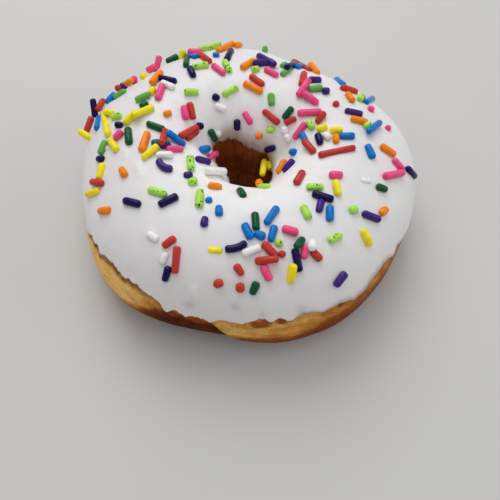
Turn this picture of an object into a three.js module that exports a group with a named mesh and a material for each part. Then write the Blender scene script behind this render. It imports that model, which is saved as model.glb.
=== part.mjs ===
// A sprinkle frosted ring doughnut without its sprinkles: a fried dough ring and the frosting shell
// on top of it.
// Millimetres, +Z up, the base on z = 0, the origin under the middle of the whole part.
// +X is the doughnut's right, -Y its front.
import * as THREE from "three";
import { LoftGeometry } from "three/addons/geometries/LoftGeometry.js";

const { MathUtils } = THREE;

// The ring seen from above
const RING_RADIUS = 46.59; // mean radius of the dough at its widest
const HOLE_RADIUS = 6.85; // mean radius of the hole at its narrowest
const HOLE_SHIFT = [0, 2.0]; // the hole's centre from the ring's centre, along X and Y
// Unevenness of the two rims: each entry is how often it goes round, and its cosine and sine swing
const RING_SWELLS = [
  [1, -0.01, -0.1],
  [2, 0.87, -0.8],
  [3, 0.64, -0.19],
  [4, 0.07, 0.7],
  [5, 0.36, 0.9],
  [6, -0.14, -0.39],
];
const HOLE_SWELLS = [
  [1, 0.1, -0.3],
  [2, 0.5, -1.25],
  [3, 0.45, 1.0],
  [4, -0.05, -0.1],
];

// The ring's section
const DOUGH_HEIGHT = 29.7; // crest of the dough
const WAIST_HEIGHT = 12.0; // height of the widest line round the outside
const THROAT_HEIGHT = 4.5; // height of the narrowest line inside the hole
const CREST_SHARE = 0.43; // the crest's place between the hole's rim and the outer rim
const OUTER_ROUNDNESS = 2.28; // exponents of the section's four quarters: 2 is an ellipse, more is squarer
const INNER_ROUNDNESS = 2.3;
const OUTER_BASE_ROUNDNESS = 2.6;
const INNER_BASE_ROUNDNESS = 4;
const BASE_CUT = 0.5; // how much of the round underside is pressed flat
const BELLY = 0.35; // the proofed band swells out by this much below the frosting
const BELLY_HEIGHT = 9.0;
const BELLY_SPREAD = 5.5;

// The lap where the rolled dough's end shows as a step at the front
const LAP_AZIMUTH = -96.5; // degrees round from +X
const LAP_LEAN = 1.1; // degrees it leans for each millimetre of height
const LAP_STEP = 0.8; // how far the dough stands out past the line
const LAP_BLUR = 2; // degrees either side of the line over which the step rises
const LAP_REACH = 30; // degrees over which the step dies away again
const LAP_TOP = 20; // height at which the step ends

// The frosting
const GAP = 0.3; // clear space between the frosting and the dough
const FROSTING_THICKNESS = 1.9; // on the crest
const LIP_THICKNESS = 1.0; // near the lower edge
const LIP_ROUNDING = 5; // degrees of section over which the edge rounds off
const OUTER_EDGE_HEIGHT = 19.2; // mean height of the frosting's edge round the outside
const INNER_EDGE_HEIGHT = 18.6; // mean height of its edge inside the hole
// Runs and shallow bays of the two edges: azimuth and half width in degrees, and rise in millimetres
const OUTER_RUNS = [
  [-137, 17, 2.9],
  [-114, 3, -1.6],
  [-101, 13, -2.0],
  [-72, 16, 1.4],
  [-53, 5, -1.0],
  [-22, 9, -2.4],
  [22, 11, -1.4],
  [62, 12, 1.6],
  [98, 10, -1.8],
  [128, 12, 1.4],
  [163, 9, -1.6],
];
const INNER_RUNS = [
  [-150, 24, -1.2],
  [-60, 26, 1.2],
  [18, 16, -2.8],
  [52, 12, -0.5],
  [108, 16, 1.7],
  [138, 10, 1.2],
];

// Fineness of the facets
const COLUMNS = 84; // round the ring
const TOP_STEPS = 12; // across the dough under the frosting
const BASE_STEPS = 16; // across the dough outside the frosting
const SKIN_STEPS = 18; // across the frosting's outside

const FULL_TURN = 2 * Math.PI;
const SLOPE_STEP = 0.004; // radians, for the normal by differences

const DOUGH_COLOUR = 0xb0763a;
const DOUGH_ROUGHNESS = 0.75;
const FROSTING_COLOUR = 0xe9e6e6;
const FROSTING_ROUGHNESS = 0.4;

// The shorter way round between two azimuths, in degrees
function turnBetween(from, to) {
  return MathUtils.euclideanModulo(to - from + 180, 360) - 180;
}

function swelled(radius, swells, azimuth) {
  return swells.reduce(
    (sum, [times, cosine, sine]) =>
      sum + cosine * Math.cos(times * azimuth) + sine * Math.sin(times * azimuth),
    radius,
  );
}

function edgeHeight(mean, runs, azimuth) {
  const degrees = MathUtils.radToDeg(azimuth);
  return runs.reduce((sum, [centre, width, rise]) => {
    const turn = turnBetween(centre, degrees) / width;
    return sum + rise * Math.exp(-turn * turn);
  }, mean);
}

// The share of a quarter's width or height that a superellipse reaches
function quarter(value, roundness) {
  return Math.abs(value) ** (2 / roundness);
}

function belly(height) {
  const away = (height - BELLY_HEIGHT) / BELLY_SPREAD;
  return BELLY * Math.exp(-away * away);
}

// The step of the lap: full just past its leaning line, and dying away from there
function lapStep(azimuth, height) {
  const line = LAP_AZIMUTH + LAP_LEAN * (WAIST_HEIGHT - height);
  const past = turnBetween(line, MathUtils.radToDeg(azimuth));
  const rise = MathUtils.smoothstep(past, -LAP_BLUR, LAP_BLUR);
  const reach = 1 - MathUtils.smoothstep(past, 0, LAP_REACH);
  const fade = 1 - MathUtils.smoothstep(height, WAIST_HEIGHT, LAP_TOP);
  return LAP_STEP * rise * reach * fade;
}

// A point of the dough's surface. The section angle is 0 outside, a quarter turn on the crest,
// a half turn in the hole and three quarters at the base.
function doughPoint(azimuth, angle) {
  const across = Math.cos(angle);
  const up = Math.sin(angle);
  const outside = across >= 0;
  const middle = outside ? WAIST_HEIGHT : THROAT_HEIGHT;
  const roundness = outside
    ? (up < 0 ? OUTER_BASE_ROUNDNESS : OUTER_ROUNDNESS)
    : (up < 0 ? INNER_BASE_ROUNDNESS : INNER_ROUNDNESS);
  const wide = quarter(across, roundness);
  const tall = quarter(up, roundness);
  const share = outside ? CREST_SHARE + (1 - CREST_SHARE) * wide : CREST_SHARE * (1 - wide);
  const height = up >= 0
    ? middle + (DOUGH_HEIGHT - middle) * tall
    : Math.max(0, middle - (middle + BASE_CUT) * tall);
  const hole = swelled(HOLE_RADIUS, HOLE_SWELLS, azimuth);
  const ring = swelled(RING_RADIUS, RING_SWELLS, azimuth);
  const swell = outside ? wide * (belly(height) + lapStep(azimuth, height)) : 0;
  const radius = hole + (ring - hole) * share + swell;
  return new THREE.Vector3(
    radius * Math.cos(azimuth) + HOLE_SHIFT[0] * (1 - share),
    radius * Math.sin(azimuth) + HOLE_SHIFT[1] * (1 - share),
    height,
  );
}

function doughNormal(azimuth, angle) {
  const round = doughPoint(azimuth + SLOPE_STEP, angle).sub(doughPoint(azimuth - SLOPE_STEP, angle));
  const over = doughPoint(azimuth, angle + SLOPE_STEP).sub(doughPoint(azimuth, angle - SLOPE_STEP));
  return round.cross(over).normalize();
}

// The section angle at which the dough reaches a height on its upper outside or upper inside
function angleAtHeight(height, middle, roundness) {
  const share = Math.min(1, Math.max(0, (height - middle) / (DOUGH_HEIGHT - middle)));
  return Math.asin(share ** (roundness / 2));
}

function outerEdgeAngle(azimuth) {
  const height = edgeHeight(OUTER_EDGE_HEIGHT, OUTER_RUNS, azimuth);
  return angleAtHeight(height, WAIST_HEIGHT, OUTER_ROUNDNESS);
}

function innerEdgeAngle(azimuth) {
  const height = edgeHeight(INNER_EDGE_HEIGHT, INNER_RUNS, azimuth);
  return Math.PI - angleAtHeight(height, THROAT_HEIGHT, INNER_ROUNDNESS);
}

// Thickness of the frosting: rounded off at both edges, thin over the outside, full on the crest
function frostingThickness(angle, from, to) {
  const nearest = Math.max(0, Math.min(angle - from, to - angle));
  const turn = Math.min(1, nearest / MathUtils.degToRad(LIP_ROUNDING));
  const lip = Math.sqrt(1 - (1 - turn) ** 2);
  const full = MathUtils.smoothstep(nearest, 0, Math.PI / 2 - from);
  return lip * (LIP_THICKNESS + (FROSTING_THICKNESS - LIP_THICKNESS) * full);
}

function doughSection(azimuth) {
  const from = outerEdgeAngle(azimuth);
  const to = innerEdgeAngle(azimuth);
  const points = [];
  for (let step = 0; step < TOP_STEPS; step++) {
    points.push(doughPoint(azimuth, from + ((to - from) * step) / TOP_STEPS));
  }
  for (let step = 0; step < BASE_STEPS; step++) {
    points.push(doughPoint(azimuth, to + ((from + FULL_TURN - to) * step) / BASE_STEPS));
  }
  return points;
}

function liftedPoint(azimuth, angle, lift) {
  return doughPoint(azimuth, angle).addScaledVector(doughNormal(azimuth, angle), lift);
}

function frostingSection(azimuth) {
  const from = outerEdgeAngle(azimuth);
  const to = innerEdgeAngle(azimuth);
  const points = [];
  for (let step = 0; step <= SKIN_STEPS; step++) {
    const share = (1 - Math.cos((Math.PI * step) / SKIN_STEPS)) / 2;
    const angle = from + (to - from) * share;
    points.push(liftedPoint(azimuth, angle, GAP + frostingThickness(angle, from, to)));
  }
  for (let step = TOP_STEPS - 1; step > 0; step--) {
    points.push(liftedPoint(azimuth, from + ((to - from) * step) / TOP_STEPS, GAP));
  }
  return points;
}

// Carries a closed section once round the ring; the last section closes on the first
function sweptRing(section) {
  const sections = [];
  for (let column = 0; column < COLUMNS; column++) {
    sections.push(section((FULL_TURN * column) / COLUMNS).reverse());
  }
  sections.push(sections[0]);
  return new LoftGeometry(sections);
}

function doughMaterial() {
  return new THREE.MeshStandardMaterial({
    color: DOUGH_COLOUR,
    roughness: DOUGH_ROUGHNESS,
    metalness: 0,
  });
}

function frostingMaterial() {
  return new THREE.MeshStandardMaterial({
    color: FROSTING_COLOUR,
    roughness: FROSTING_ROUGHNESS,
    metalness: 0,
  });
}

function doughRing() {
  const mesh = new THREE.Mesh(sweptRing(doughSection), doughMaterial());
  mesh.name = "dough_ring";
  return mesh;
}

function frostingLayer() {
  const mesh = new THREE.Mesh(sweptRing(frostingSection), frostingMaterial());
  mesh.name = "frosting";
  return mesh;
}

// Puts the origin under the middle of the part's box
function centred(group) {
  const box = new THREE.Box3().setFromObject(group);
  const middle = box.getCenter(new THREE.Vector3());
  group.children.forEach((mesh) => mesh.geometry.translate(-middle.x, -middle.y, -box.min.z));
  return group;
}

const doughnut = new THREE.Group();
doughnut.name = "sprinkle_frosted_doughnut";
doughnut.add(doughRing(), frostingLayer());

export default centred(doughnut);
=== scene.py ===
"""A sprinkle frosted ring doughnut: a fried dough ring, the frosting over its top and the sprinkles on it.

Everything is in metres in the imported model's frame: +Z up, the base on z = 0, the front towards -Y.
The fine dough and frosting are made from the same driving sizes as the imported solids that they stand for.
An azimuth goes round from +X, in degrees in the tables and in radians where a function takes it. A section
angle is 0 outside, a quarter turn on the crest, a half turn in the hole and three quarters at the base.
"""

import bmesh
import bpy
import numpy as np
from bpy.props import FloatProperty, FloatVectorProperty, IntProperty, PointerProperty
from mathutils import Matrix, Vector, noise
from mathutils.bvhtree import BVHTree
from mathutils.geometry import intersect_line_plane


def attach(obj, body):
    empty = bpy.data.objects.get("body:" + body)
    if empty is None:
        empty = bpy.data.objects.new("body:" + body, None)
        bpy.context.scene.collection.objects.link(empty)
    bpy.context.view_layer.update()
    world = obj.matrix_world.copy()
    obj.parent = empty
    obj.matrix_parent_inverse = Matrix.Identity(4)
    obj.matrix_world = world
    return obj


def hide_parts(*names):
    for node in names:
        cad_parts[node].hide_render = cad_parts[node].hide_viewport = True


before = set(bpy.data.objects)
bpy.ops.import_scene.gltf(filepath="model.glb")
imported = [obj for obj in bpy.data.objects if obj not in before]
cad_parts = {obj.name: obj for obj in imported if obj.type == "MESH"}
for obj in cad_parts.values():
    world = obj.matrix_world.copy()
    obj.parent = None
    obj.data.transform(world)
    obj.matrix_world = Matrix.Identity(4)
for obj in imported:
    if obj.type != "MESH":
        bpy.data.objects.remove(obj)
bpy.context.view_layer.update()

bl_info = {
    "name": "Sprinkle frosted doughnut",
    "version": (1, 0, 0),
    "blender": (4, 5, 0),
    "location": "3D View > Sidebar > Doughnut",
    "description": "Makes a frosted ring doughnut with sprinkles around its packed frame",
    "category": "Object",
}

MM = 0.001
TAU = 2 * np.pi

# The ring seen from above
RING_MIDDLE = (-0.88 * MM, -0.57 * MM)  # the ring's centre from the origin
RING_RADIUS = 46.59 * MM
HOLE_RADIUS = 6.85 * MM
HOLE_SHIFT = 2.0 * MM  # the hole's centre lies this far behind the ring's
# How often each swell of a rim goes round, and its cosine and sine swing in millimetres
RING_SWELLS = (
    (1, -0.01, -0.1), (2, 0.87, -0.8), (3, 0.64, -0.19), (4, 0.07, 0.7), (5, 0.36, 0.9), (6, -0.14, -0.39),
)
HOLE_SWELLS = ((1, 0.1, -0.3), (2, 0.5, -1.25), (3, 0.45, 1.0), (4, -0.05, -0.1))

# The ring's section
WAIST_HEIGHT = 12.0 * MM  # height of the widest line round the outside
THROAT_HEIGHT = 4.5 * MM  # height of the narrowest line inside the hole
CREST_SHARE = 0.43  # the crest's place between the hole's rim and the outer rim
OUTER_ROUNDNESS = 2.28  # exponents of the section's four quarters: 2 is an ellipse, more is squarer
INNER_ROUNDNESS = 2.3
OUTER_BASE_ROUNDNESS = 2.6
INNER_BASE_ROUNDNESS = 4.0
BASE_CUT = 0.5 * MM  # how much of the round underside is pressed flat
BELLY = 0.35 * MM  # the proofed band swells out by this much below the frosting
BELLY_HEIGHT = 9.0 * MM
BELLY_SPREAD = 5.5 * MM

# The lap where the rolled dough's end shows as a step at the front
LAP_AZIMUTH = -96.5
LAP_LEAN = 1.1 / MM  # degrees for each metre of height
LAP_STEP = 0.8 * MM  # how far the dough stands out past the line
LAP_BLUR = 1.1  # degrees either side of the line over which the step rises
LAP_REACH = 30.0  # degrees over which the step dies away again
LAP_TOP = 20.0 * MM  # height at which the step ends
LAP_CREASE = 0.3 * MM  # depth of the fold along the lap's line
LAP_CREASE_WIDTH = 0.9

# The frosting's edges: azimuth and half width of each run in degrees, and its rise in millimetres
OUTER_EDGE_HEIGHT = 19.2 * MM
INNER_EDGE_HEIGHT = 18.6 * MM
OUTER_RUNS = (
    (-137, 17, 2.9), (-114, 3, -1.6), (-101, 13, -2.0), (-72, 16, 1.4), (-53, 5, -1.0), (-22, 9, -2.4),
    (22, 11, -1.4), (62, 12, 1.6), (98, 10, -1.8), (128, 12, 1.4), (163, 9, -1.6),
)
# The finer tips and bays of the outer edge
OUTER_TIPS = (
    (-155, 2.5, -1.2), (-142, 3.5, -0.5), (-132.5, 2.2, -0.5), (-115.6, 1.3, -1.2), (-112.6, 1.2, 0.4),
    (-109, 2.4, -1.4), (-102.5, 3.2, -1.0), (-97, 1.6, 0.3), (-91, 3.4, -0.8), (-84.8, 1.8, 0.5),
    (-81.6, 1.5, -0.9), (-75.6, 2.3, -1.3), (-65.5, 1.6, -0.6), (-60, 14, -0.3), (-55, 1.6, -0.5),
    (-51, 1.6, -0.4), (-46, 3.0, -0.25), (-34, 2.0, -1.4), (-4, 14.0, -2.2), (-8, 3.0, -0.7),
    (3, 2.0, 0.5), (14, 2.5, -0.6), (31, 2.0, -0.7), (44, 3.0, 0.5), (53, 1.8, -0.8), (71, 2.4, -0.7),
    (84, 2.0, -0.6), (92, 2.4, 0.5), (108, 2.0, -0.8), (119, 2.6, -0.6), (137, 2.0, -0.7),
    (149, 3.0, 0.4), (156, 1.8, -0.6), (172, 2.6, -0.7), (-172, 2.4, -0.5),
)
INNER_RUNS = (
    (-150, 24, -1.2), (-60, 26, 1.2), (18, 16, -2.8), (52, 12, -0.5), (108, 16, 1.7), (138, 10, 1.2),
)
# Unevenness by layers of noise: each is its swing, the length over which it changes, and its seed
EDGE_RIPPLE = ((0.35 * MM, 2.0 * MM, 1),)  # small waver of the outer edge
EDGE_TEETH = ((0.55 * MM, 1.0 * MM, 13),)  # and the small teeth on it, where the edge is ragged
RAGGEDNESS = ((1, 16 * MM, 12),)
RAGGED_SPAN = (-0.35, 0.3)  # the raggedness at which the teeth begin, and are full
RAGGED_RUN = (-137, 12)  # azimuth and half width of the most ragged run
RAGGED_RUN_TEETH = 1.9  # how much larger the teeth are there
DRIPS = ((0.9 * MM, 1.6 * MM, 2), (0.7 * MM, 0.55 * MM, 11))  # round the hole, jagged and fine

# The frosting's body
BEDDING = 0.25 * MM  # the frosting reaches this far into the dough's skin, so that no gap shows
LIP_ROUNDING = 2.8  # degrees of section over which the edge rounds off
HOLE_THINNING_AND_SHADE = 9.0  # degrees of section over which the crust shows through, with painted shade of the hole, at the hole
BACK_THINNING_AND_SHADE = 18.0  # and this much more behind the hole, at an azimuth and half width
BACK_THINNING_AND_SHADE_RUN = (84, 42)
HOLE_THINNING_WAVER = ((0.5, 0.5, 14),)  # share by which both change, for a ring of radius 1
RIM_THINNING = 2.2  # the degrees of section outside
FRONT_THINNING = 7.5  # and this much more at the front right
FRONT_THINNING_RUN = (-46, 24)
RIM_THINNESS = 0.65  # how clearly the crust shows there
FRONT_THINNESS = 0.2  # and how much more at the front right
PAINTED_LIGHT_INSIDE = (0.0, -0.5)  # painted light: the frosting is painted whiter from the crest inwards, over the hole's slope, by the section angle's cosine
PAINTED_LIGHT_OUTSIDE = (0.5, 0.95)  # and painted a little whiter again low on the outside
PAINTED_LIGHT_OUTSIDE_SHARE = 0.3
FROSTING_SWELLS = ((0.3 * MM, 13 * MM, 9), (0.07 * MM, 4.5 * MM, 10))  # layers of noise

# Noise starts at another place for each seed, and points this near each other, in lengths, share a value
NOISE_START = Vector((17.3, 5.1, 9.7))
NOISE_DECIMALS = 5

# Fineness of the lattices
DOUGH_COLUMNS = 400
DOUGH_ROWS = 200
COVERED_ROWS = 24  # rows of the dough under the frosting
COVERED_MARGIN = np.radians(5.0)
FROSTING_COLUMNS = 640
FROSTING_ROWS = 144
INNER_SKIN_ROWS = 12
SPAN_RADIUS = 30 * MM  # a plain ring that the lattices start as
SPAN_TUBE = 10 * MM
SLOPE_STEP = 0.004

# The camera: its place, its tilt below the horizon, and its picture of 500 by 500 pixels
CAMERA_PLACE = Vector((0.49 * MM, -86.32 * MM, 133.08 * MM))
CAMERA_TILT = np.radians(61.87)
PICTURE_SIDE = 500
FOCAL_PIXELS = 500
SENSOR_WIDTH = 36.0
CLIP_START = 10 * MM

# The floor's half side, and the lamps: name, azimuth and elevation in degrees, watts and colour
FLOOR_HALF = 1.0
LAMP_SIDE = 0.6
LAMP_DISTANCE = 0.9
LAMPS = (
    ("window", 102, 50, 3.85, (1.0, 0.99, 1.0)),
    ("ceiling", 0, 88, 1.0, (0.72, 0.96, 1.0)),
    ("side", 0, 25, 1.15, (0.9, 1.0, 0.96)),
)
SKY_COLOUR = (1.0, 0.92, 0.89, 1)
SKY_STRENGTH = 0.45


def linear(red, green, blue):
    """A colour of 0 to 255 display values as linear light."""
    shares = np.array((red, green, blue)) / 255
    return tuple(np.where(shares <= 0.04045, shares / 12.92, ((shares + 0.055) / 1.055) ** 2.4))


def length_property(name, description, default):
    return FloatProperty(name=name, description=description, default=default, min=0, unit="LENGTH")


def colour_property(name, description, red, green, blue):
    return FloatVectorProperty(
        name=name,
        description=description,
        default=linear(red, green, blue),
        size=3,
        min=0,
        max=1,
        subtype="COLOR",
    )


# The crust's tones, from 0 for the darkest to 1 for the palest. At each azimuth, the tone of the fried
# underside and the height in millimetres at which it ends, and those of the pale band over it.
CRUST_BANDS = (
    (-165, 0.6, 6.0, 0.98, 14.0),
    (-150, 0.6, 6.0, 0.98, 14.5),
    (-138, 0.6, 6.5, 0.98, 14.5),
    (-130, 0.55, 7.0, 0.96, 14.5),
    (-124, 0.3, 11.5, 0.86, 16.5),
    (-119, 0.1, 13.8, 0.7, 16.8),
    (-113, 0.0, 14.4, 0.62, 17.0),
    (-106, 0.0, 13.4, 0.58, 16.4),
    (-98, 0.0, 12.8, 0.62, 16.0),
    (-20, 0.38, 9.0, 0.72, 18.0),
    (20, 0.35, 6.5, 0.9, 15.0),
    (60, 0.32, 7.5, 0.84, 16.0),
    (100, 0.42, 6.0, 0.95, 14.5),
    (150, 0.45, 6.0, 0.92, 15.0),
)
# The same on the side of the lap where the dough stands out
LAP_BANDS = (
    (-110, 0.45, 9.0, 0.84, 14.5),
    (-91, 0.4, 8.6, 0.84, 13.8),
    (-84, 0.36, 8.6, 0.84, 14.0),
    (-78, 0.32, 9.0, 0.82, 15.4),
    (-71, 0.3, 10.0, 0.77, 18.0),
    (-65, 0.3, 11.0, 0.73, 19.5),
    (-58, 0.32, 11.5, 0.71, 19.5),
    (-52, 0.33, 11.5, 0.69, 19.5),
    (-42, 0.35, 11.5, 0.66, 19.0),
)
LAP_BANDS_END = (-48, -24)
BROWNED_AND_SHADE_REACH = (1.9 * MM, 0.6 * MM)  # how far under the frosting's edge the browner line, partly the crust's own browning and partly painted shadow of the edge, ends, and is full
# How strong that line is at each azimuth
BROWNED_AND_SHADE_SHARES = ((-150, 1), (-126, 1), (-117, 0), (-98, 0), (-90, 0.15), (-45, 0.25), (60, 0.6), (170, 0.7))
BLISTER_SPAN = (0.15, 0.6)  # how high on a blister its colour begins, and is full
BAND_WAVER = ((0.9, 8 * MM, 6),)  # in millimetres up and down
LAP_TONE_SPAN = (-0.8, 0.4)  # degrees past the lap's line over which the tones change
STREAKS = ((0.11, 9 * MM, 16),)  # run round the ring
STREAK_FLATNESS = 6
HOLE_TONE = 0.375  # in the hole, and how much paler it is painted towards the base: painted light against the shade there
HOLE_PAINTED_LIGHT_RISE = 0.2
HOLE_PAINTED_LIGHT_TOP = THROAT_HEIGHT + 10 * MM
HOLE_TONE_SPAN = (0.2, -0.3)  # the section angle's cosine at which the hole's tone begins, and is full
HOLE_STREAKS = ((0.1, 0.2, 7), (0.08, 0.06, 15))  # for a ring of radius 1
HOLE_STREAK_STRETCH = 80 * MM  # upright streaks: this much height counts as 1
BASE_TONE = 0.3
BASE_MOTTLES = ((0.15, 8 * MM, 8),)
BASE_EDGE = 2 * MM  # the flat base passes into the side over this height

# The crust's own unevenness
CRUST_SWELLS = ((0.22 * MM, 11 * MM, 3), (0.07 * MM, 3.5 * MM, 4))
HOLE_FOLDS = ((0.35 * MM, 0.22, 5),)  # for a ring of radius 1
HOLE_FOLD_STRETCH = 60 * MM
HOLE_FOLD_SPAN = (0.1, -0.5)  # the section angle's cosine at which the folds begin, and are full

# Blisters on the crust just under the frosting: pixel, radius and height in millimetres
BLISTERS = (
    ((257, 322.3), 1.5, 0.9), ((265, 321.7), 1.7, 1.0), ((281, 319.8), 1.6, 0.9),
    ((173, 312.5), 1.3, 0.35), ((197, 319), 1.5, 0.4), ((341, 303), 1.2, 0.3), ((354, 292), 1.3, 0.3),
    ((130, 280), 0.7, 0.35),
)
# Lumps and dents of the frosting: pixel, radius and height in millimetres
FROSTING_LUMPS = (
    ((167, 68), 4.5, 0.7), ((108, 110), 3.0, 0.8), ((128, 92), 3.2, 0.5), ((141, 119), 2.2, 0.4),
    ((148, 88), 3.0, 0.4), ((196, 287), 0.9, 0.3), ((195, 291.5), 0.9, 0.3), ((197.5, 296), 0.9, 0.3),
    ((189, 305), 1.4, -0.6), ((235, 307), 1.3, -0.5), ((300, 312), 1.5, -0.45), ((262, 314), 1.0, -0.2),
    ((215, 84), 2.5, 0.25), ((255, 52), 5.0, 0.4), ((132, 100), 1.3, 0.4), ((127.5, 152), 0.9, 0.25),
    ((127, 156.5), 0.9, 0.3), ((126.5, 161), 0.9, 0.25), ((140, 169), 0.9, 0.25),
    ((140.5, 174), 0.9, 0.3), ((141.5, 179), 0.9, 0.25), ((134, 280), 0.5, 0.3), ((150, 293), 0.6, 0.3),
    ((156, 298), 0.6, 0.3), ((212, 160), 3.0, 1.3), ((226, 178), 3.2, 0.8), ((236, 186), 3.0, 0.6),
    ((249, 191), 3.6, 0.9), ((276, 174), 3.8, 1.9), ((151, 236), 1.6, 0.3), ((163, 258), 1.4, 0.25),
)

# The sprinkles
RADIUS_SPREAD = (0.93, 1.07)  # each rod's radius is drawn from these shares of the usual one
JUTTING_RADIUS_SPREAD = (1.05, 1.15)
SINK_SPREAD = (0.8, 1.25)
TAPER_LIMIT = 0.06
CAP_DEPTH = 0.78  # depth of a rod's rounded end, in radii
CAP_FULLNESS = 0.75  # exponent of its outline: 1 is an ellipse, less is fuller
CAP_STEPS = 3
SPINE_STEPS = 2  # along a straight rod
BENT_SPINE_STEPS = 8  # and along a bent one
BEND_EASE = 0.1  # share of a bent rod over which its sections turn
ROD_SIDES = 10
ROD_DENTS = 0.07
ROD_DENT_FINENESS = 0.8
ROD_DENT_REACH = 50  # each rod's dents start at a place drawn from 0 to this
MERGE_DISTANCE = 0.02  # in radii
STANDING_DEPTH = 1.8  # how deep a rod that stands in the frosting reaches, in radii
STANDING_PROUD = 0.35  # how far its middle's upper end stands out, in radii
STANDING_UPRIGHT = 0.6  # how far it turns from the camera's sight line towards upright
STANDING_LEAN = 0.25  # the most that it leans from there
SUNK_SHARE = 0.68  # of a rod's thickness that lies in the frosting, where it lies deep
JUTTING_LIFT = 0.85  # height of a jutting rod's middle line over the frosting, in radii
TOUCH_SHARE = 0.8  # two rods lie free of each other past this share of their radii together
NEAR_REACH = 12 * MM  # rods whose middles are farther apart than this can't touch
SPAN_SAMPLES = 9  # points along a middle line where the gap between two rods is measured
LIFT_STEP = 0.12 * MM
LIFT_LIMIT = 18
GRAZING = 0.35  # least slope of the sight line to the surface
BESIDE_REACH = (0.1, 0.24)  # the stretch of a sight line that is searched where it misses the frosting
BESIDE_STEPS = 281
HIDDEN_TRIES = 9000
CLEARANCE = 0.1 * MM
SIGHT_SHARES = (-0.3, 0, 0.5, 1, 1.3)  # places along a rod, past its two ends too, that have to be hidden
SIGHT_OFFSETS = ((0, 0, 1.2), (0, -1.2, 0), (1.2, 0, 0), (-1.2, 0, 0))  # in radii
HIDDEN_SPACING = 2.6 * MM
HIDDEN_LEAST = 0.25  # share of the rods that stay where they lie thinnest
HIDDEN_DENSE_RUN = (130, 60)  # azimuth and half width of the stretch where they lie densest
EDGE_MARGIN = 1.1 * MM  # none of their ends comes nearer than this to the frosting's edge
HIDDEN_LENGTHS = (2.2 * MM, 5.6 * MM)
HIDDEN_COLOURS = "red orange yellow lime green blue navy purple pink white leaf".split()

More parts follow.
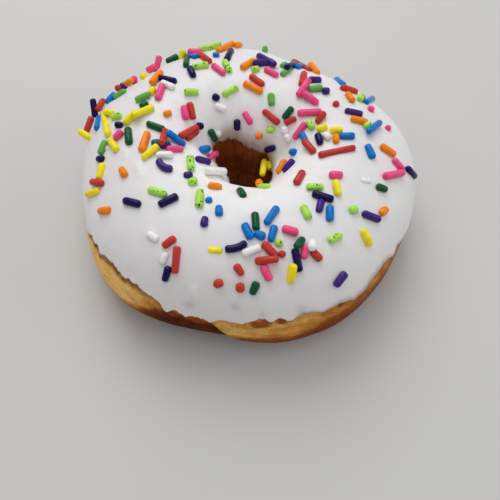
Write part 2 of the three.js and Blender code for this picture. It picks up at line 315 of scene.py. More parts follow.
# Each rod that the camera sees, the lower ones of a heap first: its colour, and the pixels of its two
# ends, with one between them where it is bent. A rod with one pixel stands in the frosting.
SEEN_RODS = (
    # the far rim
    ("lime", (201, 49), (219, 45)), ("orange", (219, 51), (232, 44)), ("orange", (236, 45), (240, 45)),
    ("leaf", (265, 48), (265, 51)), ("pink", (190, 52), (200, 52)), ("yellow", (181, 59), (183, 52)),
    ("green", (168, 61), (176, 57)), ("pink", (156, 70), (159, 58)), ("pink", (149, 70), (154, 67)),
    ("blue", (188, 57), (196, 57)), ("green", (187, 57), (186, 65)), ("red", (201, 55), (209, 61)),
    ("blue", (215, 55), (217, 55)), ("navy", (231, 51), (227, 59)), ("lime", (194, 67), (206, 65)),
    ("lime", (225, 62), (229, 70)), ("pink", (214, 66), (223, 73)), ("navy", (190, 69), (193, 75)),
    ("orange", (243, 67), (253, 61)), ("purple", (256, 63), (271, 62)), ("purple", (259, 56), (274, 64)),
    ("lime", (254, 70), (257, 69)), ("pink", (267, 70), (276, 75)), ("leaf", (283, 74), (289, 69)),
    ("leaf", (283, 66), (285, 65)), ("navy", (287, 67), (295, 64)), ("red", (294, 62), (309, 70)),
    ("blue", (297, 67), (300, 66)), ("orange", (311, 65), (317, 73)), ("red", (304, 74), (302, 84)),
    ("purple", (311, 80), (319, 80)), ("leaf", (311, 89), (320, 88)), ("pink", (308, 81), (299, 94)),
    ("pink", (305, 94), (316, 102)), ("purple", (325, 91), (327, 91)), ("red", (336, 104)),
    ("blue", (337, 80), (343, 85)), ("red", (343, 88), (355, 92)), ("orange", (348, 94), (352, 100)),
    ("lime", (360, 99), (362, 97)), ("blue", (366, 102), (372, 99)), ("pink", (371, 109)),
    ("purple", (347, 111), (360, 114)), ("orange", (353, 119), (365, 122)),
    ("lime", (366, 126), (369, 125)), ("blue", (369, 131), (379, 123)), ("pink", (388, 128)),
    # the left side
    ("white", (163, 83), (172, 87)), ("navy", (160, 78), (174, 81)), ("orange", (152, 82), (160, 73)),
    ("pink", (162, 86), (158, 98)), ("yellow", (151, 92), (153, 90)), ("yellow", (143, 76), (145, 78)),
    ("leaf", (138, 100), (147, 95)), ("green", (142, 106), (146, 104)),
    ("yellow", (134, 114), (126, 122)), ("yellow", (151, 108), (134, 115)), ("pink", (134, 79)),
    ("orange", (126, 84), (131, 81)), ("purple", (123, 86)), ("red", (118, 88)),
    ("blue", (114, 95), (108, 102)), ("leaf", (116, 97), (124, 92)), ("navy", (93, 101), (95, 115)),
    ("red", (103, 101), (98, 109)), ("red", (91, 119), (87, 130)), ("blue", (99, 118), (97, 128)),
    ("yellow", (81, 132), (90, 138)), ("yellow", (104, 114), (108, 134)),
    ("yellow", (106, 112), (112, 113)), ("lime", (113, 117), (119, 116)),
    ("navy", (117.5, 125), (120.5, 125)), ("pink", (116, 137), (120, 133)),
    ("yellow", (111, 141), (116, 149)), ("leaf", (105, 143), (101, 152)), ("navy", (99, 159), (102, 159)),
    ("yellow", (102, 166), (99, 177)), ("red", (93, 182), (101, 183)), ("yellow", (88, 194), (97, 191)),
    ("orange", (101, 211), (108, 210)), ("orange", (122, 170), (124, 174)),
    ("green", (128, 130), (129, 142)), ("orange", (147, 134), (142, 149)),
    ("teal", (154, 143), (157, 143)), ("yellow", (156, 147), (144, 157)),
    ("green", (149, 124), (162, 129)), ("purple", (163, 146), (168, 145)),
    ("red", (165, 131), (162, 142)), ("blue", (169, 133), (183, 144)), ("pink", (169, 149), (181, 149)),
    ("white", (159, 155), (170, 155)), ("purple", (159.3, 161.8), (163, 166.6), (169.5, 168.8)),
    ("red", (188, 138), (196, 132)), ("red", (181, 136), (196, 128)), ("navy", (199, 126), (201, 126)),
    ("pink", (184, 108), (186, 117)), ("red", (190, 105), (193, 117)), ("orange", (166, 114), (169, 113)),
    ("lime", (187, 92), (196, 92)), ("navy", (215, 97), (217, 98)), ("lime", (225, 94), (236, 88)),
    ("white", (217, 106), (223, 109)), ("lime", (151, 190), (164, 194)), ("navy", (161, 204), (175, 197)),
    ("navy", (126, 201), (138, 204)),
    # round the hole
    ("orange", (246, 84), (260, 91)), ("red", (252, 77), (262, 84)), ("leaf", (271, 96), (271.5, 103)),
    ("pink", (245, 114), (250, 122)), ("navy", (237, 122), (237, 128)),
    ("orange", (258, 136), (260, 136)), ("lime", (269, 130), (272, 130)), ("red", (265, 112), (277, 122)),
    ("green", (291, 109), (285, 117)), ("red", (287, 122), (294, 119)), ("pink", (300, 113), (319, 112)),
    ("red", (323, 114), (318, 121)), ("lime", (309, 122), (312, 127)), ("pink", (304, 125), (295, 137)),
    ("blue", (302, 135), (305, 140)), ("red", (305, 142), (313, 151)), ("yellow", (319, 129), (325, 127)),
    ("yellow", (332, 130), (340, 130)), ("white", (325, 135), (328, 137)),
    ("white", (285, 129), (285, 132)), ("white", (287, 137), (289, 140)),
    ("navy", (318, 136), (320, 142)), ("orange", (336, 137), (336, 141)),
    ("blue", (342, 136), (352, 136)), ("red", (321, 155), (353, 148)), ("blue", (368, 147), (372, 156)),
    ("orange", (383, 147), (393, 154)), ("pink", (395, 161), (402, 169)),
    ("pink", (386, 176), (402, 173)), ("navy", (408, 169), (414, 176)), ("blue", (292, 152), (294, 152)),
    ("navy", (267, 150), (273, 148)), ("orange", (284, 162), (279, 171)),
    ("purple", (292, 162), (285, 170)), ("orange", (259, 182.5)), ("lime", (261, 187), (268, 187)),
    ("green", (240, 191), (243, 195)), ("green", (211, 132), (215, 139)), ("white", (218, 134)),
    ("pink", (210, 157), (216, 154)), ("purple", (198, 159), (208, 162)),
    ("lime", (190, 158), (191, 168)), ("purple", (186, 175), (190, 175)),
    ("lime", (191, 182), (194, 181)), ("orange", (211, 186), (219, 187)),
    ("lime", (200, 192), (199, 204)), ("blue", (209, 200)), ("blue", (219, 208), (219, 213)),
    ("purple", (205, 219), (204, 224)),
    # the front
    ("red", (165, 245), (173, 239)), ("red", (177, 249), (175, 271)), ("navy", (168, 269), (165, 279)),
    ("navy", (228, 249), (236, 248), (244, 244)), ("white", (245, 253), (258, 248)),
    ("blue", (257, 234), (262, 236)), ("blue", (245, 226), (250, 236)), ("green", (255, 215), (256, 227)),
    ("blue", (276, 209), (267, 222)), ("lime", (279, 243)), ("blue", (274, 228), (271, 239)),
    ("red", (282, 254)), ("red", (265, 245), (275, 255)), ("pink", (264, 268), (269, 278)),
    ("red", (258, 261), (276, 259)), ("red", (237, 267), (241, 273)), ("red", (217, 284), (220, 283)),
    ("red", (240, 286), (240, 289)), ("green", (256, 285), (253, 292)), ("pink", (285, 229), (295, 232)),
    ("navy", (295, 251), (297, 260), (299, 269)), ("green", (302, 240), (297, 246)),
    ("pink", (306, 248), (304, 256)), ("red", (314, 253), (319, 258)), ("white", (312, 243), (312, 247)),
    ("yellow", (293, 267), (291, 280)), ("lime", (304, 208), (308, 216)),
    ("lime", (309, 187), (321, 187)), ("purple", (321, 202), (319, 210)),
    ("navy", (315, 194), (331, 199)), ("blue", (330, 208), (330, 218)),
    ("yellow", (336, 183), (338, 193)), ("pink", (332, 175), (340, 175)), ("red", (302, 173), (297, 182)),
    ("lime", (352, 210), (355, 209)), ("orange", (382, 213), (385, 210)),
    ("purple", (365, 214), (378, 219)), ("yellow", (364, 232), (369, 243)),
    ("lime", (331, 240), (339, 236)), ("green", (379, 187), (385, 189)),
    ("purple", (344, 275), (337, 284)),
)

# The same for those that lie deep in the frosting
SUNK_RODS = (
    ("white", (150, 234.5), (156, 238.5)), ("white", (166, 255), (163, 261.5)),
    ("white", (362, 181), (368, 182)), ("white", (107, 148), (108, 150)),
    ("yellow", (211, 250), (220, 251)),
)
# The same for those that stand out over the hole, with the pixel where they touch the frosting first
JUTTING_RODS = (
    ("white", (211, 171), (207.5, 170.5), (223.5, 171.5)),
    ("blue", (204, 149.5), (202.5, 149.8), (207.3, 148.8)),
)
# The same for those that hang on the frosting's rim in the hole
RIM_RODS = (("yellow", (268.5, 163.5), (269.5, 168)), ("yellow", (264.5, 162), (262.5, 174)))

# The finishes. A grain is the length of its noise and its detail, and a pair is what it ranges between.
MOST_OF_NOISE = (0.25, 0.75)
MIDDLE_OF_NOISE = (0.3, 0.7)
CRUST_CLOUDS = (3.0 * MM, 4)
CRUST_SPECKS = (0.6 * MM, 3)
CRUST_PITS = (1.3 * MM, 1)
CRUST_PITS_SPAN = (0.66, 0.76)
CRUST_PITS_SHARES = (0.0, 0.45)
CLOUD_TONES = (-0.13, 0.13)
SPECK_TONES = (-0.08, 0.08)
BROWNED_AND_SHADE_SPAN = (0.35, 0.65)
BROWNED_AND_SHADE_STRENGTHS = (0.6, 1.0)
BLISTER_STRENGTH = 0.95
CRUST_ROUGHNESS = (0.36, 0.55)
CRUST_SPECULAR = 0.015
CRUST_SPECK_HEIGHT = 0.5  # of the clouds' height
CRUST_BUMP = (0.35 * MM, 0.6)  # distance and strength
FROSTING_DRIFT = (12 * MM, 2)
FROSTING_SOFTNESS = (2.4 * MM, 3)
FROSTING_PATCHES = (0.75, 1.0)
DENT_SHADE_STRENGTH = 0.55
FROSTING_ROUGHNESS = (0.36, 0.48)
FROSTING_BUMP = (0.12 * MM, 0.6)
FROSTING_SPECULAR = 0.4
FROSTING_DEPTH_OF_LIGHT = (0.2, (1.0, 0.9, 0.8), 1.0 * MM)  # weight, share of each colour, and scale
SUGAR_CLOUDS = (1.6 * MM, 2)
SUGAR_PITS = (0.5 * MM, 2)
SUGAR_SPECKS = (1.0 * MM, 1)
SUGAR_SPECKS_SPAN = (0.61, 0.68)
SUGAR_VALUES = (0.86, 1.1)
SUGAR_ROUGHNESS = (0.14, 0.28)
SUGAR_BUMP = (0.12 * MM, 0.7)
SUGAR_SPECULAR = 0.22
WHITE_SUGAR_DEPTH_OF_LIGHT = (0.7, (1.0, 0.95, 0.9), 1.2 * MM)
FLOOR_CLOUDS = (60 * MM, 1)
FLOOR_PALER = 1.02
FLOOR_ROUGHNESS = 0.6


class DoughnutSizes(bpy.types.PropertyGroup):
    """Sizes that can be changed before the pieces are made."""

    crest_height: length_property(
        "Crest height", "Height of the dough's crest under the frosting", 29.7 * MM
    )
    frosting_thickness: length_property(
        "Frosting thickness", "Thickness of the frosting on the crest", 2.2 * MM
    )
    lip_thickness: length_property("Lip thickness", "Thickness of the frosting near its edge", 0.95 * MM)
    sprinkle_radius: length_property("Sprinkle radius", "Half the thickness of a sprinkle", 0.98 * MM)
    sprinkle_sink: FloatProperty(
        name="Sprinkle sink",
        description="Share of a sprinkle's thickness that lies in the frosting",
        default=0.27,
        min=0,
        max=1,
        subtype="FACTOR",
    )
    seed: IntProperty(
        name="Seed",
        description="Picks the sprinkles' small unevenness and the places of those at the back",
        default=7,
    )


class DoughnutColours(bpy.types.PropertyGroup):
    """Colours that can be changed before the pieces are made."""

    crust_dark: colour_property("Dark crust", "The fried underside", 78, 33, 10)
    crust_russet: colour_property("Russet crust", "Over the dark underside", 118, 57, 27)
    crust_brown: colour_property("Brown crust", "Between the dark and the golden crust", 155, 87, 36)
    crust_gold: colour_property("Golden crust", "Beside the pale band", 213, 149, 69)
    crust_pale: colour_property("Pale band", "The proof line round the middle", 255, 212, 127)
    # partly the crust's own browning, partly painted shadow under the frosting's edge
    crust_edge_and_shade: colour_property("Browned edge", "The crust just under the frosting", 126, 68, 28)
    blister: colour_property("Blister", "Small blisters of the crust", 150, 70, 34)
    # painted light: the first colour is a whiter copy of the frosting, painted on the hole's slope and low on
    # the outside; the second is the plain frosting colour over the crest and the upper outside
    frosting: colour_property("Frosting", "The frosting where it is deep", 254, 254, 254)
    frosting_cool: colour_property("Frosting, cool", "Where the frosting is shallow", 233, 232, 234)
    # painted shade: a lilac grey painted in the small dents near the edge
    frosting_dent_shade: colour_property("Frosting, dent", "In the small dents near the edge", 206, 198, 208)
    # partly the crust showing through thin frosting, partly painted shade in the hole
    frosting_thin_and_shade: colour_property("Frosting, thin", "Where the crust shows through", 146, 102, 86)
    red: colour_property("Red", "Red sprinkles", 199, 60, 51)
    orange: colour_property("Orange", "Orange sprinkles", 255, 143, 20)
    yellow: colour_property("Yellow", "Yellow sprinkles", 255, 238, 38)
    lime: colour_property("Lime", "Lime green sprinkles", 183, 238, 94)
    leaf: colour_property("Leaf", "Mid green sprinkles", 110, 180, 86)
    green: colour_property("Green", "Dark green sprinkles", 10, 86, 46)
    teal: colour_property("Teal", "Blue green sprinkles", 10, 104, 124)
    blue: colour_property("Blue", "Blue sprinkles", 0, 122, 206)
    navy: colour_property("Navy", "Dark blue sprinkles", 16, 2, 78)
    purple: colour_property("Purple", "Purple sprinkles", 64, 34, 124)
    pink: colour_property("Pink", "Pink sprinkles", 248, 84, 142)
    white: colour_property("White", "White sprinkles", 255, 255, 252)
    speck: colour_property("Speck", "Dark specks on the lime sprinkles", 20, 110, 40)
    floor: colour_property("Floor", "The plain floor", 206, 206, 205)


# ---------------------------------------------------------------- the shape of the dough


def smooth_step(low, high, value):
    """0 at low and 1 at high, whichever of the two is larger."""
    share = np.clip((value - low) / (high - low), 0, 1)
    return share * share * (3 - 2 * share)


def turn_between(start, end):
    """The shorter way round between two azimuths, in degrees."""
    return (end - start + 180) % 360 - 180


def hump(degrees, centre, width):
    """1 at an azimuth, dying away softly over a half width to each side."""
    return np.exp(-((turn_between(centre, degrees) / width) ** 2))


def round_middle(azimuth, height=0.0):
    """Points of a ring of radius 1, at a height."""
    return np.stack((np.cos(azimuth), np.sin(azimuth), height + 0 * azimuth), axis=-1)


def swelled(radius, swells, azimuth):
    return radius + sum(
        (cosine * np.cos(times * azimuth) + sine * np.sin(times * azimuth)) * MM
        for times, cosine, sine in swells
    )


def edge_height(mean, runs, azimuth):
    degrees = np.degrees(azimuth)
    return mean + sum(rise * MM * hump(degrees, centre, width) for centre, width, rise in runs)


def quarter(value, roundness):
    """The share of a quarter's width or height that a superellipse reaches."""
    return np.abs(value) ** (2 / roundness)


def belly(height):
    return BELLY * np.exp(-(((height - BELLY_HEIGHT) / BELLY_SPREAD) ** 2))


def past_lap(azimuth, height):
    """Degrees past the lap's leaning line."""
    line = LAP_AZIMUTH + LAP_LEAN * (WAIST_HEIGHT - height)
    return turn_between(line, np.degrees(azimuth))


def lap_step(azimuth, height):
    past = past_lap(azimuth, height)
    out = smooth_step(-LAP_BLUR, LAP_BLUR, past) * (1 - smooth_step(0, LAP_REACH, past))
    crease = LAP_CREASE * np.exp(-(((past + LAP_BLUR) / LAP_CREASE_WIDTH) ** 2))
    return (LAP_STEP * out - crease) * (1 - smooth_step(WAIST_HEIGHT, LAP_TOP, height))


def dough_points(azimuth, angle, crest):
    """Points of the dough's surface, from the ring's middle."""
    across = np.cos(angle)
    up = np.sin(angle)
    outside = across >= 0
    base = up < 0
    middle = np.where(outside, WAIST_HEIGHT, THROAT_HEIGHT)
    roundness = np.where(
        outside,
        np.where(base, OUTER_BASE_ROUNDNESS, OUTER_ROUNDNESS),
        np.where(base, INNER_BASE_ROUNDNESS, INNER_ROUNDNESS),
    )
    wide = quarter(across, roundness)
    tall = quarter(up, roundness)
    share = np.where(outside, CREST_SHARE + (1 - CREST_SHARE) * wide, CREST_SHARE * (1 - wide))
    height = np.where(
        base,
        np.maximum(0, middle - (middle + BASE_CUT) * tall),
        middle + (crest - middle) * tall,
    )
    hole = swelled(HOLE_RADIUS, HOLE_SWELLS, azimuth)
    ring = swelled(RING_RADIUS, RING_SWELLS, azimuth)
    swell = np.where(outside, wide * (belly(height) + lap_step(azimuth, height)), 0)
    radius = hole + (ring - hole) * share + swell
    return np.stack(
        (radius * np.cos(azimuth), radius * np.sin(azimuth) + HOLE_SHIFT * (1 - share), height), axis=-1
    )


def dough_normals(azimuth, angle, crest):
    step = SLOPE_STEP
    around = dough_points(azimuth + step, angle, crest) - dough_points(azimuth - step, angle, crest)
    over = dough_points(azimuth, angle + step, crest) - dough_points(azimuth, angle - step, crest)
    normals = np.cross(around, over)
    return normals / np.linalg.norm(normals, axis=-1, keepdims=True)


def angle_at_height(height, middle, roundness, crest):
    return np.arcsin(np.clip((height - middle) / (crest - middle), 0, 1) ** (roundness / 2))


def outer_edge_height(azimuth):
    rim = round_middle(azimuth) * RING_RADIUS
    ragged = smooth_step(*RAGGED_SPAN, noise_sum(rim, RAGGEDNESS))
    ragged = np.maximum(ragged, RAGGED_RUN_TEETH * hump(np.degrees(azimuth), *RAGGED_RUN))
    uneven = noise_sum(rim, EDGE_RIPPLE) + noise_sum(rim, EDGE_TEETH) * ragged
    return edge_height(OUTER_EDGE_HEIGHT, OUTER_RUNS + OUTER_TIPS, azimuth) + uneven


def outer_edge_angle(azimuth, crest):
    return angle_at_height(outer_edge_height(azimuth), WAIST_HEIGHT, OUTER_ROUNDNESS, crest)


def inner_edge_angle(azimuth, crest, drips=DRIPS):
    height = edge_height(INNER_EDGE_HEIGHT, INNER_RUNS, azimuth)
    height += noise_sum(round_middle(azimuth) * HOLE_RADIUS, drips)
    return np.pi - angle_at_height(height, THROAT_HEIGHT, INNER_ROUNDNESS, crest)


def smooth_noise(points, length, seed):
    """Noise of about -1 to 1 that changes over a length, another for each seed."""
    start = NOISE_START * seed
    flat = np.round(np.asarray(points).reshape(-1, 3) / length, NOISE_DECIMALS)
    distinct, back = np.unique(flat, axis=0, return_inverse=True)
    values = np.array([noise.noise(Vector(point) + start) for point in distinct])
    return values[back.ravel()].reshape(np.shape(points)[:-1])


def noise_sum(points, layers):
    return sum(swing * smooth_noise(points, length, seed) for swing, length, seed in layers)


# ---------------------------------------------------------------- the camera's sight lines


def sight_axes():
    """The camera's right, up and forward directions."""
    right = Vector((1, 0, 0))
    forward = Vector((0, np.cos(CAMERA_TILT), -np.sin(CAMERA_TILT)))
    return right, right.cross(forward), forward


def sight_line(pixel):
    """The direction in which the camera sees a pixel."""
    right, up, forward = sight_axes()
    across = (pixel[0] - PICTURE_SIDE / 2) / FOCAL_PIXELS
    rise = (PICTURE_SIDE / 2 - pixel[1]) / FOCAL_PIXELS
    return (right * across + up * rise + forward).normalized()


def seen_point(points, normals, pixel):
    """The point of a lattice that the camera sees nearest to a pixel."""
    from_camera = points - np.array(CAMERA_PLACE)
    direction = np.array(sight_line(pixel))
    along = from_camera @ direction
    aside = np.linalg.norm(from_camera - along[:, None] * direction, axis=1)
    facing = np.einsum("ij,ij->i", from_camera, normals) < 0
    return points[np.argmin(np.where(facing, aside, np.inf))]


def bump_field(points, normals, bumps):
    """The height that round bumps and dents add at each point, and how fully each point is on one."""
    height = np.zeros(len(points))
    cover = np.zeros(len(points))
    for pixel, radius, rise in bumps:
        middle = seen_point(points, normals, pixel)
        away = np.linalg.norm(points - middle, axis=1) / (radius * MM)
        dome = np.exp(-(away**2))
        height += rise * MM * dome
        cover = np.maximum(cover, dome)
    return height, cover


# ---------------------------------------------------------------- meshes


def settle_faces(shape):
    """Turns a spun shape's faces outwards and puts them in the order of their vertices, because spin makes
    them in another order each time."""
    bmesh.ops.recalc_face_normals(shape, faces=shape.faces)
    shape.verts.index_update()
    count = len(shape.verts)

    def place_in_order(face):
        first, second, third = sorted(vert.index for vert in face.verts)[:3]
        return (first * count + second) * count + third

    shape.faces.sort(key=place_in_order)
    shape.faces.index_update()


def spin_round(shape, steps):
    """Spins an outline once round Z and joins its last copy to its first."""
    bmesh.ops.spin(
        shape,
        geom=shape.verts[:] + shape.edges[:],
        cent=(0, 0, 0),
        axis=(0, 0, 1),
        angle=TAU,
        steps=steps,
        use_merge=True,
    )


def ring_lattice(columns, rows):
    """A plain ring spun from a circle, and the azimuth and row of each vertex."""
    lattice = bmesh.new()
    stand = Matrix.Translation((SPAN_RADIUS, 0, 0)) @ Matrix.Rotation(np.pi / 2, 4, "X")
    bmesh.ops.create_circle(lattice, segments=rows, radius=SPAN_TUBE, matrix=stand)
    spin_round(lattice, columns)
    settle_faces(lattice)
    places = np.array([vert.co[:] for vert in lattice.verts])
    azimuth = np.arctan2(places[:, 1], places[:, 0])
    turn = np.arctan2(places[:, 2], np.hypot(places[:, 0], places[:, 1]) - SPAN_RADIUS)
    row = np.rint(turn / TAU * rows).astype(int) % rows
    return lattice, azimuth, row


def new_object(name, data):
    thing = bpy.data.objects.new(name, data)
    bpy.context.scene.collection.objects.link(thing)
    return thing


def mesh_object(name, shape, material):
    """Turns a bmesh into an object of its own."""
    mesh = bpy.data.meshes.new(name)
    shape.to_mesh(mesh)
    shape.free()
    mesh.materials.append(material)
    return new_object(name, mesh)


def finished_piece(name, shape, material):
    """Turns a bmesh into a smooth piece that rides on the doughnut."""
    for face in shape.faces:
        face.smooth = True
    piece = mesh_object(name, shape, material)
    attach(piece, "root")
    return piece


def move_vertices(shape, places):
    for vert, place in zip(shape.verts, places):
        vert.co = place
    shape.normal_update()


def add_attribute(piece, name, values):
    attribute = piece.data.attributes.new(name, "FLOAT", "POINT")
    attribute.data.foreach_set("value", np.asarray(values, np.float32))


def in_part_frame(points):
    return points + np.array((*RING_MIDDLE, 0))


# ---------------------------------------------------------------- the dough


def dough_angles(azimuth, row, crest):
    """Section angles of the rows: few under the frosting, and the rest over what shows."""
    start = outer_edge_angle(azimuth, crest) + COVERED_MARGIN
    end = inner_edge_angle(azimuth, crest) - COVERED_MARGIN
    covered = start + (end - start) * row / COVERED_ROWS
    bare = end + (start + TAU - end) * (row - COVERED_ROWS) / (DOUGH_ROWS - COVERED_ROWS)
    return np.where(row < COVERED_ROWS, covered, bare)


def dough_lumps(points, azimuth, angle):
    """Soft unevenness of the crust, and upright folds in the hole. The flat base stays flat."""
    above = smooth_step(0, BASE_EDGE, points[:, 2])
    upright = round_middle(azimuth, points[:, 2] / HOLE_FOLD_STRETCH)
    folds = noise_sum(upright, HOLE_FOLDS) * smooth_step(*HOLE_FOLD_SPAN, np.cos(angle))
    return above * (noise_sum(points, CRUST_SWELLS) + folds)


def band_tone(bands, degrees, height):
    """The tone at a height: the underside's, passing into the pale band's."""
    azimuths, low_tones, lows, high_tones, highs = np.array(bands).T
    low, high, low_tone, high_tone = (
        np.interp(degrees, azimuths, column, period=360) for column in (lows, highs, low_tones, high_tones)
    )
    return low_tone + (high_tone - low_tone) * smooth_step(low, high, height)


def crust_tone(points, azimuth, angle):
    """How pale the crust is, from 0 for the dark underside to 1 for the pale band."""
    degrees = np.degrees(azimuth)
    height = points[:, 2]
    wavy = height / MM + noise_sum(points, BAND_WAVER)
    tone = band_tone(CRUST_BANDS, degrees, wavy)
    on_lap = smooth_step(*LAP_TONE_SPAN, past_lap(azimuth, height))
    on_lap *= 1 - smooth_step(*LAP_BANDS_END, degrees)
    tone += (band_tone(LAP_BANDS, degrees, wavy) - tone) * on_lap
    tone += noise_sum(points * (1, 1, STREAK_FLATNESS), STREAKS)
    hole = HOLE_TONE + noise_sum(round_middle(azimuth, height / HOLE_STREAK_STRETCH), HOLE_STREAKS)
    # painted light: the hole's wall is painted paler towards its base, against the shade there
    hole += HOLE_PAINTED_LIGHT_RISE * smooth_step(HOLE_PAINTED_LIGHT_TOP, THROAT_HEIGHT, height)
    tone += (hole - tone) * smooth_step(*HOLE_TONE_SPAN, np.cos(angle))
    under = BASE_TONE + noise_sum(points, BASE_MOTTLES)
    return tone + (under - tone) * smooth_step(BASE_EDGE, 0, height)


def make_dough(sizes, colours):
    shape, azimuth, row = ring_lattice(DOUGH_COLUMNS, DOUGH_ROWS)
    angle = dough_angles(azimuth, row, sizes.crest_height)
    points = dough_points(azimuth, angle, sizes.crest_height)
    normals = dough_normals(azimuth, angle, sizes.crest_height)
    placed = in_part_frame(points)
    rise, blisters = bump_field(placed, normals, BLISTERS)
    rise += dough_lumps(points, azimuth, angle)
    move_vertices(shape, placed + normals * rise[:, None])
    piece = finished_piece("dough_crust", shape, crust_material(colours))
    below = outer_edge_height(azimuth) - points[:, 2]
    share = np.interp(np.degrees(azimuth), *np.array(BROWNED_AND_SHADE_SHARES).T, period=360)
    # partly real browning, partly painted shadow under the frosting's edge
    browned_and_shaded = np.where(np.cos(angle) > 0, smooth_step(*BROWNED_AND_SHADE_REACH, below) * share, 0)
    add_attribute(piece, "tone", crust_tone(points, azimuth, angle))
    add_attribute(piece, "browned_and_shaded", browned_and_shaded)
    add_attribute(piece, "blister", smooth_step(*BLISTER_SPAN, blisters))
    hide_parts("dough_ring")


# ---------------------------------------------------------------- the frosting


def frosting_thickness(angle, start, end, sizes):
    """Rounded off at both edges, thin over the outside and full on the crest."""
    nearest = np.maximum(0, np.minimum(angle - start, end - angle))
    turn = np.minimum(1, nearest / np.radians(LIP_ROUNDING))
    lip = np.sqrt(1 - (1 - turn) ** 2)
    full = smooth_step(0, np.pi / 2 - start, nearest)
    return lip * (sizes.lip_thickness + (sizes.frosting_thickness - sizes.lip_thickness) * full)


def frosting_thinness_and_shade(azimuth, angle, start, end):
    """How clearly the crust shows through, near the outer edge and near the one in the hole, where painted
    shade of the hole adds to it.
    """
    degrees = np.degrees(azimuth)
    reach = np.radians(HOLE_THINNING_AND_SHADE + BACK_THINNING_AND_SHADE * hump(degrees, *BACK_THINNING_AND_SHADE_RUN))
    reach *= 1 + noise_sum(round_middle(azimuth), HOLE_THINNING_WAVER)
    # near the hole the tint is partly crust showing through and partly painted shade
    near_hole = smooth_step(reach, 0, end - angle)
    front = hump(degrees, *FRONT_THINNING_RUN)
    near_rim = smooth_step(np.radians(RIM_THINNING + FRONT_THINNING * front), 0, angle - start)
    return np.maximum(near_hole, (RIM_THINNESS + FRONT_THINNESS * front) * near_rim)


def make_frosting(sizes, colours):
    shape, azimuth, row = ring_lattice(FROSTING_COLUMNS, FROSTING_ROWS)
    start = outer_edge_angle(azimuth, sizes.crest_height)
    end = inner_edge_angle(azimuth, sizes.crest_height)
    outer_rows = FROSTING_ROWS - INNER_SKIN_ROWS
    outside = row <= outer_rows
    over = (1 - np.cos(np.pi * row / outer_rows)) / 2
    back = (FROSTING_ROWS - row) / INNER_SKIN_ROWS
    angle = start + (end - start) * np.where(outside, over, back)
    points = in_part_frame(dough_points(azimuth, angle, sizes.crest_height))
    normals = dough_normals(azimuth, angle, sizes.crest_height)
    thickness = frosting_thickness(angle, start, end, sizes)
    rise = bump_field(points, normals, FROSTING_LUMPS)[0] + noise_sum(points, FROSTING_SWELLS)
    full = np.clip(thickness / sizes.lip_thickness, 0, 1)
    lift = np.where(outside, thickness + rise * full, 0) - BEDDING
    move_vertices(shape, points + normals * lift[:, None])
    piece = finished_piece("frosting_coat", shape, frosting_material(colours))
    # painted shade: how fully each point lies in a dent, where the lilac grey shade is painted
    dents = bump_field(points, normals, [bump for bump in FROSTING_LUMPS if bump[2] < 0])[1]
    across = np.cos(angle)
    # painted light: the share by which the frosting is painted whiter, on the hole's slope and low on the
    # outside
    painted_light_share = smooth_step(*PAINTED_LIGHT_INSIDE, across) + PAINTED_LIGHT_OUTSIDE_SHARE * smooth_step(*PAINTED_LIGHT_OUTSIDE, across)
    mean_end = inner_edge_angle(azimuth, sizes.crest_height, drips=())
    add_attribute(piece, "thin_and_shade", frosting_thinness_and_shade(azimuth, angle, start, mean_end))
    add_attribute(piece, "dent_shade", dents)
    add_attribute(piece, "painted_light_share", painted_light_share)
    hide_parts("frosting")


# ---------------------------------------------------------------- the sprinkles


def rod_template(spine_steps):
    """A rod along Z with a radius of 1, its round ends starting at z = -1 and 1."""
    rod = bmesh.new()
    slopes = [np.pi / 2 * step / CAP_STEPS for step in range(CAP_STEPS, 0, -1)]
    cap = [(np.cos(slope) ** CAP_FULLNESS, 1 + CAP_DEPTH * np.sin(slope)) for slope in slopes]
    outline = [(out, -along) for out, along in cap]
    outline += [(1.0, -1 + 2 * step / spine_steps) for step in range(spine_steps + 1)]
    outline += reversed(cap)
    verts = [rod.verts.new((max(0.0, out), 0, along)) for out, along in outline]
    for first, second in zip(verts, verts[1:]):
        rod.edges.new((first, second))
    spin_round(rod, ROD_SIDES)
    bmesh.ops.remove_doubles(rod, verts=rod.verts, dist=MERGE_DISTANCE)
    settle_faces(rod)
    mesh = bpy.data.meshes.new("rod")
    rod.to_mesh(mesh)
    rod.free()
    return mesh


class Rod:
    """One sprinkle: its colour, its radius, the knots that its middle line runs through, and for each knot
    the way in which it may be lifted."""

    def __init__(self, colour, radius, knots, sights=()):
        self.colour = colour
        self.radius = radius
        self.knots = knots
        self.sights = sights

    def point_at(self, share):
        """The middle line's point at a share of the way from its first knot to its last."""
        if len(self.knots) == 2:
            return self.knots[0].lerp(self.knots[1], share)
        first, middle, last = self.knots
        turn = 2 * middle - (first + last) / 2
        return first * (1 - share) ** 2 + turn * 2 * share * (1 - share) + last * share**2

    def across(self):
        """A direction square to the whole rod."""
        if len(self.knots) == 2:
            return (self.knots[1] - self.knots[0]).orthogonal()
        first, middle, last = self.knots
        return (middle - first).cross(last - middle)

    def direction_at(self, share):
        """The way the middle line runs, eased round a bend."""
        ahead, behind = min(1, share + BEND_EASE), max(0, share - BEND_EASE)
        return (self.point_at(ahead) - self.point_at(behind)).normalized()


def beside(tree, direction):
    """Where a sight line that misses the tree's surface passes nearest to it, and the normal there."""
    best = None
    for step in np.linspace(*BESIDE_REACH, BESIDE_STEPS):
        place = CAMERA_PLACE + direction * step
        near, normal, _, distance = tree.find_nearest(place)
        if best is None or distance < best[2]:
            best = (place, normal, distance)
    return best[0], best[1]


def knot_on(tree, pixel, lift):
    """A point of a rod's middle line: on the sight line of its pixel, and a lift above the surface."""
    direction = sight_line(pixel)
    place, normal, _, _ = tree.ray_cast(CAMERA_PLACE, direction)
    if place is None:
        return beside(tree, direction)
    slope = max(GRAZING, -direction.dot(normal))
    return place - direction * (lift / slope), normal


